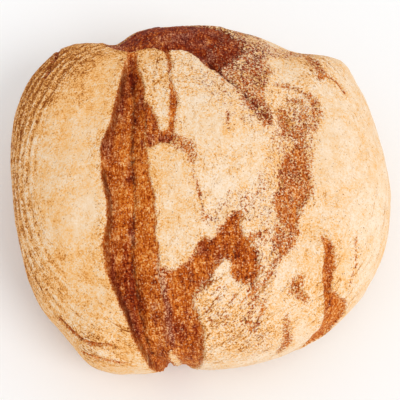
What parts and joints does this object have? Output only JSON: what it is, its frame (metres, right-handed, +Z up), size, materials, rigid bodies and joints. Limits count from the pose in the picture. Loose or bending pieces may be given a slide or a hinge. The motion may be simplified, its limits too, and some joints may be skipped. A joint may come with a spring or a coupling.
{
  "type": "sourdough loaf",
  "caption": "Round hearth-baked bread loaf with a torn, floured crust that rests on its flat base.",
  "frame": {"origin": "middle of the bounding box, in the plane of the flat base", "axes": "+Z up through the crown; +Y to the back, along the long tear; +X to the right, with the torn-away lobe on the -X side"},
  "size_m": [0.2276, 0.2186, 0.1023],
  "materials": {
    "crust": "matt, floured, with bare brown tears"
  },
  "bodies": {
    "root": {"loaf": "crust"}
  },
  "joints": []
}
